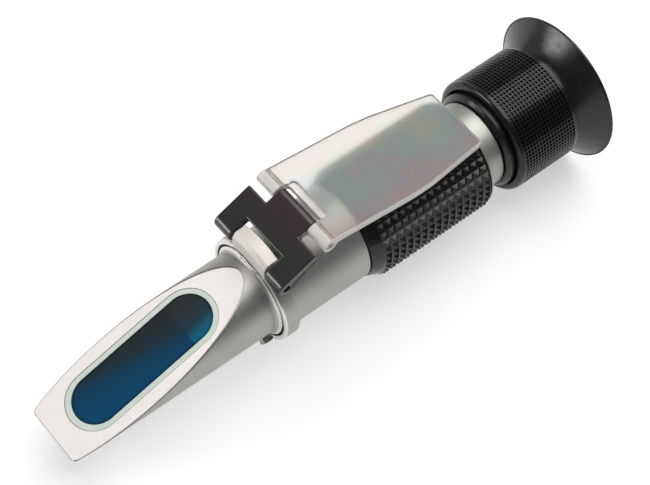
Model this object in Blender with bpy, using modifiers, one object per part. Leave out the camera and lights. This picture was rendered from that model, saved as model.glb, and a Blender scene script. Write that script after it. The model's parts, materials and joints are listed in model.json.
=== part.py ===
"""Hand-held refractometer: oblique prism nose, hinged daylight plate, gripped barrel, focusing eyepiece.

Sizes are in millimetres and become metres in the helpers. The optical axis is X, towards the eyepiece.
Z is up, on the side of the prism face. The origin is on the axis, 18.5 mm behind the front edge of the grip.
"""
import math

import bmesh
import bpy
from mathutils import Matrix, Vector

MM = 0.001
COLLECTION = "refractometer"
CUTTERS = "cutters"

# Stations along the optical axis
TIP_X = -104.5
LIP_X = -46.4
COLLAR_REAR_X = -42.0
GRIP_FRONT_X = -18.5
GRIP_REAR_X = 19.2
BARREL_REAR_X = 25.7
RING_FRONT_X = 28.2
RING_REAR_X = 48.2
EYECUP_RIM_X = 55.5

# Outer radii
TIP_R = 11.0
NOSE_R = 11.3
COLLAR_R = 14.3
BARREL_R = 12.7
GRIP_R = 15.0
REAR_BARREL_R = 11.7
EYEPIECE_R = 13.4
RING_R = 15.9
EYECUP_R = 20.6

# Oblique prism face, measured from the tip of the nose
FACE_SLOPE = math.radians(18.1)
FACE_TIP_Z = -6.93
WINDOW_FRONT = 7.5
WINDOW_REAR = 47.9
WINDOW_R = 6.1
SEAL_WIDTH = 1.4
SEAL_FRONT_WIDTH = 2.0
SEAL_DEPTH = 2.0
SEAL_FIT = 0.15
PRISM_FLOOR_Z = -6.9
PRISM_REAR_X = -55.5

# Cover hinge: lug pin, plate pin and link
LUG_PIN = (-45.0, 15.8)
PLATE_PIN = (-32.3, 22.2)
LINK_TILT = math.radians(24.5)
LINK_R = 2.2
LINK_T = 2.3
LINK_HALF_W = 12.7
FORK_HALF_GAP = 6.7
TAB_HALF_W = 6.2
BAR_FRONT = 4.4
BAR_REAR = 10.3
LUG_HALF_W = 6.1
LUG_R = 19.2
PIN_R = 0.8
PIN_HOLE_R = 1.05

# Cover plate
PLATE_L = 50.8
PLATE_T = 2.0
PLATE_HALF_W = 12.8
PLATE_END_HALF_W = 9.6
PLATE_BEND = 29.0
KNUCKLE_R = 1.9
KNUCKLE_HALF_GAP = 6.5
SLOT_DEPTH = 2.6

# Calibration screw and the lens cell that it shifts
SCREW_X = -48.8
SCREW_ANGLE = math.radians(218.0)
SCREW_R = 1.0
SCREW_HEAD_R = 1.7
SCREW_HEAD_T = 1.9
SCREW_TOP_R = 12.9
SCREW_FOOT_R = 8.35

# Guide pin that keeps the lens carrier from turning
GUIDE_X = 40.8
GUIDE_R = 0.7
FOCUS_TRAVEL = 1.5

# Clearances, and reaches that carry a cutter well past the solids
GAP = 0.3
PIN_INSET = 0.5
BORE_R = 9.6
STOP_R = 9.3
GLAND_R = 10.6
PAST = 30
DEEP = 40
PLAN_HALF_T = 8.0

# Smoothness of the round solids
FINE = 40
MEDIUM = 28
SMALL = 16
SHARP_ANGLE = math.radians(35.0)


def clear_scene():
    for item in list(bpy.data.objects):
        bpy.data.objects.remove(item, do_unlink=True)
    for group in list(bpy.data.collections):
        bpy.data.collections.remove(group)


def collection(name):
    group = bpy.data.collections.new(name)
    bpy.context.scene.collection.children.link(group)
    return group


def material(name, color, roughness, metallic=0.0, transmission=0.0):
    skin = bpy.data.materials.new(name)
    skin.use_nodes = True
    shader = skin.node_tree.nodes["Principled BSDF"]
    shader.inputs["Base Color"].default_value = (*color, 1.0)
    shader.inputs["Roughness"].default_value = roughness
    shader.inputs["Metallic"].default_value = metallic
    shader.inputs["Transmission Weight"].default_value = transmission
    return skin


def arc(center, radius, start, end, count):
    """Points of an arc in a plane, angles in degrees."""
    points = []
    for i in range(count + 1):
        turn = math.radians(start + (end - start) * i / count)
        points.append((center[0] + radius * math.cos(turn), center[1] + radius * math.sin(turn)))
    return points


def place(item, group, skin):
    """Link an item to its collection, with its material and with smooth shading between sharp edges."""
    group.objects.link(item)
    if skin is not None:
        item.data.materials.append(skin)
    if item.data.polygons:
        item.data.shade_smooth()
        item.data.set_sharp_from_angle(angle=SHARP_ANGLE)
    return item


def turned(name, outline, steps, group, skin=None, closed=True):
    """Turn an (x, r) outline about X. It runs forward along the outer side and back along the inner one."""
    mesh = bpy.data.meshes.new(name)
    points = [(r * MM, 0.0, x * MM) for x, r in outline]
    edges = [(i, i + 1) for i in range(len(points) - 1)]
    if closed:
        edges.append((len(points) - 1, 0))
    mesh.from_pydata(points, edges, [])
    item = place(bpy.data.objects.new(name, mesh), group, skin)
    screw = item.modifiers.new("turn", "SCREW")
    screw.axis = "Z"
    screw.steps = steps
    screw.render_steps = steps
    screw.use_merge_vertices = True
    screw.merge_threshold = 0.00001
    screw.use_smooth_shade = True
    item.rotation_euler = (0.0, math.pi / 2, 0.0)
    return item


def extruded(name, outline, low, high, group, skin=None):
    """Extrude an (x, z) outline along Y, from low to high."""
    mesh = bpy.data.meshes.new(name)
    form = bmesh.new()
    corners = [form.verts.new((x * MM, low * MM, z * MM)) for x, z in outline]
    face = form.faces.new(corners)
    grown = bmesh.ops.extrude_face_region(form, geom=[face])
    moved = [v for v in grown["geom"] if isinstance(v, bmesh.types.BMVert)]
    bmesh.ops.translate(form, verts=moved, vec=(0.0, (high - low) * MM, 0.0))
    bmesh.ops.recalc_face_normals(form, faces=form.faces)
    form.to_mesh(mesh)
    form.free()
    return place(bpy.data.objects.new(name, mesh), group, skin)


def box(name, low, high, group, skin=None):
    mesh = bpy.data.meshes.new(name)
    form = bmesh.new()
    bmesh.ops.create_cube(form, size=1.0)
    size = [(b - a) * MM for a, b in zip(low, high)]
    middle = [(a + b) / 2 * MM for a, b in zip(low, high)]
    bmesh.ops.scale(form, vec=size, verts=form.verts)
    bmesh.ops.translate(form, vec=middle, verts=form.verts)
    form.to_mesh(mesh)
    form.free()
    return place(bpy.data.objects.new(name, mesh), group, skin)


def rod(name, start, end, radius, steps, group, skin=None):
    """A plain cylinder between two points."""
    first = Vector(start) * MM
    last = Vector(end) * MM
    mesh = bpy.data.meshes.new(name)
    form = bmesh.new()
    bmesh.ops.create_cone(
        form, cap_ends=True, segments=steps, radius1=radius * MM, radius2=radius * MM,
        depth=(last - first).length,
    )
    form.to_mesh(mesh)
    form.free()
    item = place(bpy.data.objects.new(name, mesh), group, skin)
    item.rotation_mode = "QUATERNION"
    item.rotation_quaternion = (last - first).to_track_quat("Z", "Y")
    item.location = (first + last) / 2
    return item


def cross_rod(name, pin, half_width, radius, group, skin=None):
    """A cylinder along Y through the (x, z) of a hinge pin."""
    x, z = pin
    return rod(name, (x, -half_width, z), (x, half_width, z), radius, SMALL, group, skin)


def combine(item, tool, operation):
    change = item.modifiers.new(operation.lower(), "BOOLEAN")
    change.operation = operation
    change.object = tool
    change.solver = "EXACT"
    return item


def empty(name, x, z, group):
    guide = bpy.data.objects.new(name, None)
    guide.empty_display_size = 5 * MM
    guide.location = (x * MM, 0.0, z * MM)
    group.objects.link(guide)
    return guide


def hang(item, guide):
    """Parent an item to its joint's empty without moving it."""
    item.parent = guide
    item.matrix_parent_inverse = Matrix.Translation(guide.location).inverted()
    return item


def face_z(x):
    """Height of the oblique prism face at a station."""
    return FACE_TIP_Z + (x - TIP_X) * math.tan(FACE_SLOPE)


def stadium(front, rear, half_width, count):
    """Outline of the window on the face plane, as (distance from the tip, y)."""
    points = arc((rear - half_width, 0.0), half_width, -90, 90, count)
    points += arc((front + half_width, 0.0), half_width, 90, 270, count)
    return points


def face_column(name, front, rear, half_width, top, bottom, group, skin=None, count=12):
    """A stadium column standing square to the prism face, from bottom to top above the face."""
    mesh = bpy.data.meshes.new(name)
    form = bmesh.new()
    outline = stadium(front, rear, half_width, count)
    corners = [form.verts.new((s * MM, y * MM, bottom * MM)) for s, y in outline]
    face = form.faces.new(corners)
    grown = bmesh.ops.extrude_face_region(form, geom=[face])
    moved = [v for v in grown["geom"] if isinstance(v, bmesh.types.BMVert)]
    bmesh.ops.translate(form, verts=moved, vec=(0.0, 0.0, (top - bottom) * MM))
    bmesh.ops.recalc_face_normals(form, faces=form.faces)
    turn = Matrix.Translation((TIP_X * MM, 0.0, FACE_TIP_Z * MM)) @ Matrix.Rotation(-FACE_SLOPE, 4, "Y")
    bmesh.ops.transform(form, matrix=turn, verts=form.verts)
    form.to_mesh(mesh)
    form.free()
    return place(bpy.data.objects.new(name, mesh), group, skin)


def above_face(name, group):
    """Everything above the oblique face plane."""
    ahead = TIP_X - PAST
    behind = TIP_X + 3 * PAST
    outline = [(ahead, face_z(ahead)), (behind, face_z(behind)), (ahead, face_z(behind))]
    return extruded(name, outline, -PAST, PAST, group)


def lens_outline(front, rear, radius, bulge_front, bulge_rear, count=5):
    """A lens that bulges by the given heights on its two sides."""

    def cap(middle, bulge, sign):
        curve = (radius**2 + bulge**2) / (2 * bulge)
        points = []
        for i in range(count + 1):
            r = radius * i / count
            depth = curve - math.sqrt(curve**2 - r**2)
            points.append((middle + sign * (bulge - depth), r))
        return points

    return cap(rear, bulge_rear, 1) + cap(front, bulge_front, -1)[::-1]


def radial(distance, x=SCREW_X):
    """A point at a distance from the axis, along the calibration screw."""
    return (x, distance * math.cos(SCREW_ANGLE), distance * math.sin(SCREW_ANGLE))


def build_nose(parts, cutters, skins):
    shell = [
        (-36.0, 10.2), (-44.7, 10.2), (-44.7, 12.5), (-46.2, 12.5), (-46.6, 12.1), (-47.0, 11.6),
        (-47.8, NOSE_R), (TIP_X + 1.2, TIP_R), (TIP_X + 0.35, TIP_R - 0.35), (TIP_X, TIP_R - 1.2),
        (TIP_X, 0.0),
    ]
    bore = [(-52.0, 0.0), (-52.0, 8.6), (-36.0, 8.6)]
    nose = turned("nose_housing", bore + shell, FINE, parts, skins["aluminium"], closed=False)
    light_way = rod("cut_light_way", (-51.0, 0, 0), (-62.0, 0, 0), 5.8, SMALL, cutters)
    pocket = face_column(
        "cut_prism_pocket", WINDOW_FRONT - GAP, WINDOW_REAR + GAP, WINDOW_R + GAP, PAST, -DEEP, cutters
    )
    below = box("cut_pocket_floor", (TIP_X - PAST, -PAST, -DEEP), (0, PAST, PRISM_FLOOR_Z - GAP), cutters)
    combine(pocket, below, "DIFFERENCE")
    behind = box("cut_pocket_rear", (PRISM_REAR_X + 3.0, -PAST, -DEEP), (DEEP, PAST, DEEP), cutters)
    combine(pocket, behind, "DIFFERENCE")
    edge = SEAL_WIDTH + GAP
    seat = face_column(
        "cut_seal_seat", WINDOW_FRONT - SEAL_FRONT_WIDTH - GAP, WINDOW_REAR + edge, WINDOW_R + edge,
        PAST, -SEAL_DEPTH - GAP, cutters,
    )
    tap = rod("cut_screw_hole", radial(5.0), radial(16.0), SCREW_R + 0.25, SMALL, cutters)
    sink = rod(
        "cut_screw_sink", radial(SCREW_TOP_R - SCREW_HEAD_T - 0.2), radial(16.0), SCREW_HEAD_R + GAP,
        SMALL, cutters,
    )
    combine(nose, above_face("cut_above_face", cutters), "DIFFERENCE")
    for tool in (light_way, pocket, seat, tap, sink):
        combine(nose, tool, "DIFFERENCE")


def build_prism(parts, cutters, skins):
    prism = face_column("prism", WINDOW_FRONT, WINDOW_REAR, WINDOW_R, 0.0, -PAST, parts, skins["glass"])
    floor = box("cut_prism_floor", (TIP_X - PAST, -PAST, -DEEP), (0, PAST, PRISM_FLOOR_Z), cutters)
    combine(prism, floor, "DIFFERENCE")
    rear = box("cut_prism_rear", (PRISM_REAR_X, -PAST, -DEEP), (DEEP, PAST, DEEP), cutters)
    combine(prism, rear, "DIFFERENCE")
    seal = face_column(
        "prism_seal", WINDOW_FRONT - SEAL_FRONT_WIDTH, WINDOW_REAR + SEAL_WIDTH, WINDOW_R + SEAL_WIDTH,
        -0.05, -SEAL_DEPTH, parts, skins["seal"],
    )
    hole = face_column(
        "cut_seal_hole", WINDOW_FRONT - SEAL_FIT, WINDOW_REAR + SEAL_FIT, WINDOW_R + SEAL_FIT,
        PAST, -PAST, cutters,
    )
    combine(seal, hole, "DIFFERENCE")


def build_barrel(parts, cutters, skins):
    collar = turned(
        "hinge_collar",
        [(COLLAR_REAR_X, COLLAR_R - 0.3), (COLLAR_REAR_X - 0.3, COLLAR_R), (LIP_X + 0.4, COLLAR_R),
         (LIP_X, COLLAR_R - 0.4), (LIP_X, 13.4), (LIP_X + 0.4, 13.0), (COLLAR_REAR_X, 13.0)],
        FINE, parts, skins["aluminium"],
    )
    lug = turned(
        "add_hinge_lug",
        [(-42.5, LUG_R - 0.4), (-42.9, LUG_R), (-45.3, LUG_R - 0.2), (-46.0, LUG_R - 0.6),
         (-46.6, LUG_R - 1.5), (-46.6, 14.0), (-42.5, 14.0)],
        FINE, cutters,
    )
    keep = box("keep_hinge_lug", (-PAST - DEEP, -LUG_HALF_W, 0), (0, LUG_HALF_W, DEEP), cutters)
    combine(lug, keep, "INTERSECT")
    combine(collar, lug, "UNION")
    combine(collar, cross_rod("cut_lug_hole", LUG_PIN, PAST, PIN_HOLE_R, cutters), "DIFFERENCE")
    cross_rod("lug_pin", LUG_PIN, LINK_HALF_W - PIN_INSET, PIN_R, parts, skins["steel"])
    turned(
        "main_barrel",
        [(32.6, 10.5), (32.2, 10.9), (BARREL_REAR_X, 10.9), (BARREL_REAR_X, REAR_BARREL_R),
         (20.3, 11.9), (20.1, 13.4), (19.6, 13.4), (19.5, 11.6), (-18.8, 11.6), (-18.8, BARREL_R - 0.2),
         (-19.0, BARREL_R), (-44.4, BARREL_R), (-44.4, 10.5), (-35.6, 10.5), (-35.6, BORE_R),
         (32.6, BORE_R)],
        FINE, parts, skins["aluminium"],
    )
    turned(
        "grip_sleeve",
        [(GRIP_REAR_X, 14.4), (GRIP_REAR_X - 0.6, GRIP_R), (-14.2, GRIP_R), (-14.6, 13.9),
         (-17.4, 13.6), (GRIP_FRONT_X, 12.9), (GRIP_FRONT_X, 11.9), (GRIP_REAR_X, 11.9)],
        FINE, parts, skins["rubber"],
    )


def build_objective(parts, skins):
    """The lens cell that the calibration screw shifts."""
    cell = turned(
        "objective_cell",
        [(-42.6, 8.0), (-50.6, 8.0), (-50.6, 5.6), (-49.4, 5.6), (-49.4, 6.7), (-42.6, 6.7)],
        MEDIUM, parts, skins["brass"],
    )
    lens = turned(
        "objective_lens", lens_outline(-48.4, -45.9, 6.4, 0.7, 0.7),
        MEDIUM, parts, skins["glass"], closed=False,
    )
    ring = turned(
        "objective_ring", [(-43.0, 6.4), (-44.8, 6.4), (-44.8, 5.4), (-43.0, 5.4)],
        MEDIUM, parts, skins["black_metal"],
    )
    return [cell, lens, ring]


def build_fixed_optics(parts, skins):
    """The thermal strip with its mount, the light stop and the scale disc."""
    black = skins["black_metal"]
    turned(
        "thermal_mount", [(-27.4, STOP_R), (-31.4, STOP_R), (-31.4, 8.3), (-27.4, 8.3)],
        MEDIUM, parts, black,
    )
    box("bimetal_strip", (-42.2, -2.5, -7.6), (-28.0, 2.5, -7.1), parts, skins["brass"])
    turned(
        "light_stop", [(-12.0, STOP_R), (-14.0, STOP_R), (-14.0, 4.5), (-13.2, 4.5), (-12.0, 6.0)],
        MEDIUM, parts, black,
    )
    turned(
        "reticle_holder",
        [(18.0, STOP_R), (6.0, STOP_R), (6.0, 7.2), (8.0, 7.2), (8.0, 8.6), (18.0, 8.6)],
        MEDIUM, parts, black,
    )
    turned(
        "reticle", [(9.8, 0.0), (9.8, 8.3), (8.3, 8.3), (8.3, 0.0)],
        MEDIUM, parts, skins["glass"], closed=False,
    )
    turned("reticle_ring", [(12.6, 8.3), (10.1, 8.3), (10.1, 7.2), (12.6, 7.2)], MEDIUM, parts, black)


def build_calibration_screw(parts, cutters, skins):
    under_head = SCREW_TOP_R - SCREW_HEAD_T
    screw = rod(
        "calibration_screw", radial(SCREW_FOOT_R), radial(under_head), SCREW_R, SMALL, parts, skins["steel"]
    )
    head = rod(
        "add_screw_head", radial(under_head - 0.05), radial(SCREW_TOP_R), SCREW_HEAD_R, SMALL, cutters
    )
    combine(screw, head, "UNION")
    slot = box("cut_screw_slot", (-3.0, -0.3, -0.8), (3.0, 0.3, 0.8), cutters)
    slot.location = Vector(radial(SCREW_TOP_R)) * MM
    slot.rotation_euler = (SCREW_ANGLE - math.pi / 2, 0.0, 0.0)
    combine(screw, slot, "DIFFERENCE")
    return screw


def build_focus_carrier(parts, cutters, skins):
    """The fixed eyepiece tube and the lens carrier that slides in it."""
    black = skins["black_metal"]
    glass = skins["glass"]
    tube = turned(
        "eyepiece_tube",
        [(42.4, EYEPIECE_R), (27.0, EYEPIECE_R), (26.0, 12.4), (26.0, 11.2),
         (33.2, 11.2), (33.2, GLAND_R), (42.4, GLAND_R)],
        FINE, parts, black,
    )
    carrier = turned(
        "lens_carrier",
        [(43.6, 10.3), (38.4, 10.3), (38.4, 9.6), (37.0, 9.6), (37.0, 10.3), (34.8, 10.3), (34.8, 9.3),
         (28.6, 9.3), (28.6, 7.2), (29.8, 7.2), (29.8, 8.2), (36.0, 8.2), (36.0, 9.0), (43.6, 9.0)],
        MEDIUM, parts, black,
    )
    field = turned(
        "field_lens", lens_outline(30.9, 33.1, 7.9, 0.7, 0.8), MEDIUM, parts, glass, closed=False
    )
    spacer = turned(
        "lens_spacer", [(37.7, 8.7), (36.3, 8.7), (36.3, 7.9), (34.3, 7.9), (34.3, 7.1), (37.7, 7.1)],
        MEDIUM, parts, black,
    )
    eye = turned("eye_lens", lens_outline(38.9, 41.0, 8.7, 0.8, 0.6), MEDIUM, parts, glass, closed=False)
    clamp = turned("lens_ring", [(43.4, 8.7), (42.0, 8.7), (42.0, 7.4), (43.4, 7.4)], MEDIUM, parts, black)
    seal = turned("focus_o_ring", arc((37.7, 10.1), 0.4, 0, 315, 7), MEDIUM, parts, skins["rubber"])
    pin = rod("guide_pin", (GUIDE_X, 0, 9.4), (GUIDE_X, 0, 14.1), GUIDE_R, SMALL, parts, skins["steel"])
    carrier_hole = rod("cut_carrier_hole", (GUIDE_X, 0, 8), (GUIDE_X, 0, 12), GUIDE_R + 0.2, SMALL, cutters)
    combine(carrier, carrier_hole, "DIFFERENCE")
    slot = box(
        "cut_guide_slot", (GUIDE_X - FOCUS_TRAVEL - GUIDE_R - GAP, -GUIDE_R - GAP, 9),
        (DEEP + 10, GUIDE_R + GAP, 15), cutters,
    )
    combine(tube, slot, "DIFFERENCE")
    return [carrier, field, spacer, eye, clamp, seal, pin]


def build_focus_ring(parts, skins):
    """The knurled ring and the eyecup that turn together."""
    ring = turned(
        "focus_ring",
        [(RING_REAR_X, RING_R - 0.7), (RING_REAR_X - 0.4, RING_R - 0.4), (RING_REAR_X - 1.2, RING_R - 0.2),
         (RING_FRONT_X + 1.6, RING_R), (RING_FRONT_X + 0.8, RING_R - 0.15),
         (RING_FRONT_X + 0.2, RING_R - 0.8), (RING_FRONT_X, RING_R - 1.7), (RING_FRONT_X, 13.8),
         (GUIDE_X - 1.2, 13.8), (GUIDE_X - 1.2, 14.4),
         (44.4, 14.4), (44.4, 12.4), (RING_REAR_X, 12.4)],
        FINE, parts, skins["black_metal"],
    )
    cup = turned(
        "eyecup",
        [(EYECUP_RIM_X, 20.4), (EYECUP_RIM_X - 0.3, EYECUP_R), (EYECUP_RIM_X - 1.1, 20.2), (53.0, 18.0),
         (51.0, 16.0), (49.6, 14.8), (48.5, 14.2), (48.5, 12.1), (45.6, 12.1), (45.6, 8.6), (48.8, 8.6),
         (49.6, 10.6), (51.6, 14.6), (EYECUP_RIM_X - 0.6, 19.0), (EYECUP_RIM_X, 19.2)],
        FINE, parts, skins["rubber"],
    )
    return [ring, cup]


def link_length():
    return math.dist(LUG_PIN, PLATE_PIN)


def link_direction():
    return math.atan2(PLATE_PIN[1] - LUG_PIN[1], PLATE_PIN[0] - LUG_PIN[0])


def plate_tilt():
    """The open plate slopes down until its far end meets the grip."""
    return -math.asin((PLATE_PIN[1] - GRIP_R - GAP) / PLATE_L)


def plan_object(name, outline, height, group):
    """Extrude an (x, y) outline along Z, evenly about the plane."""
    item = extruded(name, outline, -height, height, group)
    item.data.transform(Matrix.Rotation(math.pi / 2, 4, "X"))
    return item


def mirrored(half):
    """Close a half outline of (x, y >= 0) points with its mirror image."""
    return half + [(x, -y) for x, y in reversed(half)]


def place_tilted(item, pin, tilt):
    item.location = (pin[0] * MM, 0.0, pin[1] * MM)
    item.rotation_euler = (0.0, -tilt, 0.0)
    return item


def build_link(parts, cutters, skins):
    turn = link_direction() - LINK_TILT
    tab_pin = (link_length() * math.cos(turn), link_length() * math.sin(turn))
    tab_r = LINK_R - tab_pin[1]
    side = arc((0.0, 0.0), LINK_R, 90, 270, 8)
    side += [(1.2, -LINK_R), (2.2, LINK_R - LINK_T), (tab_pin[0] - 3.0, LINK_R - LINK_T)]
    side += [(tab_pin[0] - 2.0, tab_pin[1] - tab_r)] + arc(tab_pin, tab_r, -90, 90, 6)
    link = extruded("hinge_link", side, -LINK_HALF_W, LINK_HALF_W, parts, skins["black_plastic"])
    place_tilted(link, LUG_PIN, LINK_TILT)
    bevel = 0.5
    half = [
        (BAR_FRONT, FORK_HALF_GAP), (-4.0, FORK_HALF_GAP), (-4.0, LINK_HALF_W - bevel),
        (-2.0, LINK_HALF_W - bevel), (-1.0, LINK_HALF_W), (BAR_REAR - bevel, LINK_HALF_W),
        (BAR_REAR, LINK_HALF_W - bevel), (BAR_REAR, TAB_HALF_W), (20.0, TAB_HALF_W),
    ]
    plan = plan_object("keep_link_plan", mirrored(half), PLAN_HALF_T, cutters)
    place_tilted(plan, LUG_PIN, LINK_TILT)
    combine(link, plan, "INTERSECT")
    for label, pin in (("lug", LUG_PIN), ("plate", PLATE_PIN)):
        hole = cross_rod(f"cut_link_{label}_hole", pin, PAST, PIN_HOLE_R, cutters)
        combine(link, hole, "DIFFERENCE")
    return link


def build_plate(parts, cutters, skins):
    tilt = plate_tilt()
    side = [(0.0, PLATE_T)] + arc((0.0, 0.0), KNUCKLE_R, 100, 350, 12)
    side += [(KNUCKLE_R + 0.2, 0.0), (PLATE_L, 0.0), (PLATE_L, PLATE_T)]
    plate = extruded("cover_plate", side, -PLATE_HALF_W, PLATE_HALF_W, parts, skins["clear_plastic"])
    place_tilted(plate, PLATE_PIN, tilt)
    half = [
        (SLOT_DEPTH, KNUCKLE_HALF_GAP - 0.8), (SLOT_DEPTH - 0.8, KNUCKLE_HALF_GAP),
        (-5.0, KNUCKLE_HALF_GAP), (-5.0, PLATE_HALF_W),
        (PLATE_BEND - 3.0, PLATE_HALF_W), (PLATE_BEND + 3.0, PLATE_HALF_W - 0.4),
        (PLATE_L - 0.8, PLATE_END_HALF_W), (PLATE_L, PLATE_END_HALF_W - 0.8),
    ]
    plan = plan_object("keep_plate_plan", mirrored(half), PLAN_HALF_T, cutters)
    place_tilted(plan, PLATE_PIN, tilt)
    combine(plate, plan, "INTERSECT")
    combine(plate, cross_rod("cut_plate_hole", PLATE_PIN, PAST, PIN_HOLE_R, cutters), "DIFFERENCE")
    pin = cross_rod("plate_pin", PLATE_PIN, PLATE_HALF_W - PIN_INSET, PIN_R, parts, skins["steel"])
    return [plate, pin]


def main():
    clear_scene()
    parts = collection(COLLECTION)
    cutters = collection(CUTTERS)
    skins = {
        "aluminium": material("satin_aluminium", (0.62, 0.63, 0.61), 0.38, 1.0),
        "steel": material("steel", (0.5, 0.5, 0.5), 0.3, 1.0),
        "brass": material("brass", (0.65, 0.5, 0.25), 0.4, 1.0),
        "black_metal": material("black_anodised", (0.02, 0.02, 0.02), 0.45, 0.3),
        "black_plastic": material("black_plastic", (0.03, 0.028, 0.03), 0.25),
        "rubber": material("black_rubber", (0.025, 0.026, 0.025), 0.6),
        "seal": material("pale_seal", (0.68, 0.73, 0.69), 0.6),
        "glass": material("blue_glass", (0.02, 0.12, 0.25), 0.05, 0.0, 0.6),
        "clear_plastic": material("clear_plastic", (0.85, 0.85, 0.82), 0.3, 0.0, 0.7),
    }
    build_nose(parts, cutters, skins)
    build_prism(parts, cutters, skins)
    build_barrel(parts, cutters, skins)
    build_fixed_optics(parts, skins)
    cell_items = build_objective(parts, skins)
    screw = build_calibration_screw(parts, cutters, skins)
    carrier_items = build_focus_carrier(parts, cutters, skins)
    ring_items = build_focus_ring(parts, skins)
    link = build_link(parts, cutters, skins)
    plate_items = build_plate(parts, cutters, skins)

    link_axis = empty("link_axis", *LUG_PIN, parts)
    plate_axis = empty("plate_axis", *PLATE_PIN, parts)
    focus_axis = empty("focus_axis", RING_FRONT_X, 0.0, parts)
    screw_axis = empty("calibration_axis", SCREW_X, 0.0, parts)
    hang(link, link_axis)
    for item in plate_items:
        hang(item, plate_axis)
    for item in carrier_items + ring_items:
        hang(item, focus_axis)
    for item in cell_items + [screw]:
        hang(item, screw_axis)
    for cutter in cutters.objects:
        cutter.hide_render = True
        cutter.display_type = "WIRE"


main()
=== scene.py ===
"""Looks of a hand-held refractometer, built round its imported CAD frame.

Sizes are in millimetres in the CAD's own frame: X runs along the optical axis towards the
eyepiece, and Z is up, on the side of the prism face. The far side is +Y. A piece is made at its
place and rides on its CAD body.
"""
import json
import math

import bmesh
import bpy
from mathutils import Matrix, Vector

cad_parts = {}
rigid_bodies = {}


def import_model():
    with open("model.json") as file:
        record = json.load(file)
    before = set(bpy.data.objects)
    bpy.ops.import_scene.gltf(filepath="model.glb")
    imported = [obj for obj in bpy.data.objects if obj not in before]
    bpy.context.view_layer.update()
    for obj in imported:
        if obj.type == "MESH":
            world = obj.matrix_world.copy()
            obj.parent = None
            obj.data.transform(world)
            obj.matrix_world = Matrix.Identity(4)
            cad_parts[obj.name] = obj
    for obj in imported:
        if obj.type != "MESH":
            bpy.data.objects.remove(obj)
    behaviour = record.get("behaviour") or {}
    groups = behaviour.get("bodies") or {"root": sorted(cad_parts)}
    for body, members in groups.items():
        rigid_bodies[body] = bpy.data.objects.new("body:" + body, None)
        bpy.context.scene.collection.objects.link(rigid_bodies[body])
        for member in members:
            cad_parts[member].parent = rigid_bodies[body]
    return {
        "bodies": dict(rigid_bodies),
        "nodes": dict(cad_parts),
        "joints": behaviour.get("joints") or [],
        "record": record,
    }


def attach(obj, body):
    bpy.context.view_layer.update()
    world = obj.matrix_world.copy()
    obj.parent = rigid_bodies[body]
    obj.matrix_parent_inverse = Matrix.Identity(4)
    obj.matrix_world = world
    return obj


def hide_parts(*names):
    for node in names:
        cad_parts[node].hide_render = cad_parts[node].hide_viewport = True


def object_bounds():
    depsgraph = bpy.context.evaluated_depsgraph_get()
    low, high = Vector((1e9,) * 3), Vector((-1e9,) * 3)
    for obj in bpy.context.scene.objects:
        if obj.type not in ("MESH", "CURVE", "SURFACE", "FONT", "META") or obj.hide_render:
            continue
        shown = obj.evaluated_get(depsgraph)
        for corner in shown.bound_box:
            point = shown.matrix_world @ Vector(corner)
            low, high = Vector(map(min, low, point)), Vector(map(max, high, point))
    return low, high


MM = 0.001

# Stations along the axis and outer radii
TIP_X = -104.5
LIP_X = -46.4
GRIP_FRONT_X = -18.5
GRIP_REAR_X = 19.2
RING_FRONT_X = 28.2
RING_REAR_X = 48.2
CUP_RIM_X = 55.5
TIP_R = 11.0
NOSE_R = 11.3
COLLAR_R = 14.3
BARREL_R = 12.7
STUD_BASE_R = 14.2
GRIP_R = 15.0
EYEPIECE_R = 13.4
RING_R = 15.9

# Oblique face, which starts at the tip
FACE_SLOPE = math.radians(18.1)
FACE_TIP_Z = -6.93
FACE_NORMAL = Vector((-math.sin(FACE_SLOPE), 0.0, math.cos(FACE_SLOPE)))

# Stadiums in the face: front and rear end up the slope from the tip, and half the width
WINDOW = (7.35, 48.0, 6.25)
SEAL_SEAT = (5.55, 49.5, 7.75)
PRISM_FLOOR_Z = -6.9
PRISM_REAR_X = -55.5
PRISM_GAP = 0.3
POCKET_REAR_X = -52.5

# Cover hinge, with each pin's x and z
LUG_PIN = (-45.0, 15.8)
PLATE_PIN = (-32.3, 22.2)
LINK_TILT = math.radians(24.5)
LINK_R = 2.2
LINK_T = 2.3
LINK_HALF_W = 12.7
FORK_HALF_GAP = 6.7
TAB_HALF_W = 6.2
BAR_FRONT = 4.4
BAR_REAR = 10.3
LUG_HALF_W = 6.1
PIN_R = 0.8
PIN_HOLE_R = 1.05
PIN_INSET = 0.5
PIN_CHAMFER = 0.15

# Cover plate, from its pin
PLATE_L = 50.8
PLATE_T = 2.0
PLATE_HALF_W = 12.8
PLATE_END_HALF_W = 9.6
PLATE_BEND = 29.0
PLATE_GRIP_GAP = 0.3
RECESS_DEPTH = 0.9
KNUCKLE_R = 1.9
KNUCKLE_HALF_GAP = 6.5
SLOT_DEPTH = 2.6
PLATE_TILT = -math.asin((PLATE_PIN[1] - GRIP_R - PLATE_GRIP_GAP) / PLATE_L)

# Calibration screw and guide pin
SCREW_X = -48.8
SCREW_ANGLE = math.radians(218.0)
SCREW_HEAD_R = 1.7
SCREW_TOP_R = 12.9
GUIDE_X = 40.8
GUIDE_R = 0.7

# Grids of studs and knurls
STUDS_AROUND = 40
STUDS_ALONG = 15
STUD_TURN = math.radians(-3.0)
KNURLS_AROUND = 90
KNURLS_ALONG = 17

# Corners round a turned piece
STEPS = 128
FINE_STEPS = 192
LENS_STEPS = 96

# Cutting shapes: how far they reach in general, above and below the face, and along a pin
FAR = 60
OVER_FACE = 5.0
UNDER_FACE = -30.0
PIN_TOOL_HALF_L = 20.0

# Below these, a radius is on the axis, corners are welded, and two places are the same
AXIS_R = 1e-6
WELD = 0.002
TOUCH = 0.01

# Most of a noise's values lie between these
NOISE_LOW = 0.3
NOISE_HIGH = 0.7

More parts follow.
